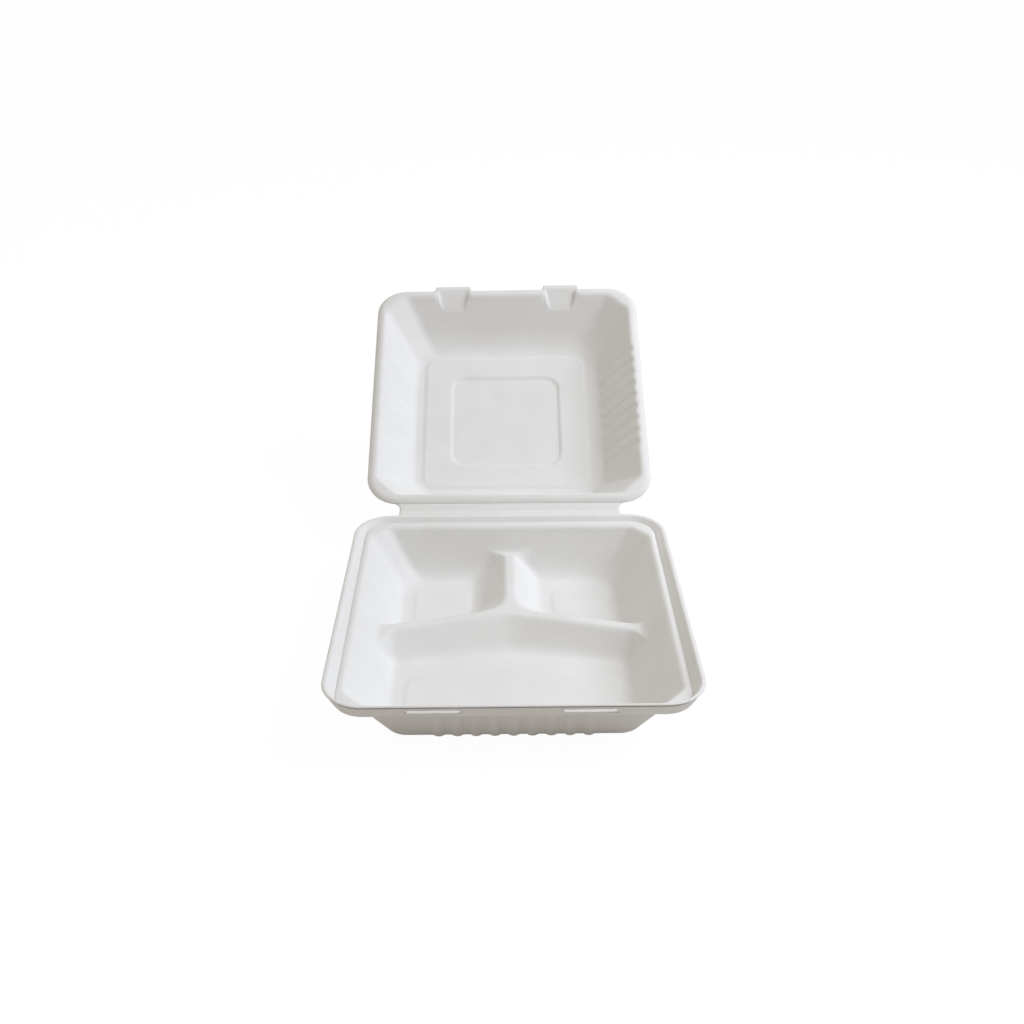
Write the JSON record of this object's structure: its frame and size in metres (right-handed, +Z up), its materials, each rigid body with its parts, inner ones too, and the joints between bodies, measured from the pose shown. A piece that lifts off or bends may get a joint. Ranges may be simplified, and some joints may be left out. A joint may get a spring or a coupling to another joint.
{
  "type": "clamshell food container",
  "caption": "Open hinged clamshell food container of thin moulded fibre, its tray divided by a low Y-shaped ridge, its lid shallow with a stepped panel and two closing tabs.",
  "frame": {"origin": "middle of the tray, on the plane of the floors that it stands on", "axes": "+Z up, +Y from the tray's front towards the hinge and the lid, +X to the right"},
  "size_m": [0.23, 0.4283, 0.1527],
  "materials": {
    "tray_fibre": "matte",
    "lid_fibre": "matte"
  },
  "bodies": {
    "tray": {"tray": "tray_fibre"},
    "lid": {"lid": "lid_fibre"}
  },
  "joints": [
    {"name": "lid_hinge", "type": "hinge", "parent": "tray", "child": "lid", "pos_m": [0, 0.1175, 0.0412], "axis": [1, 0, 0], "range_deg": [-29, 151]}
  ]
}
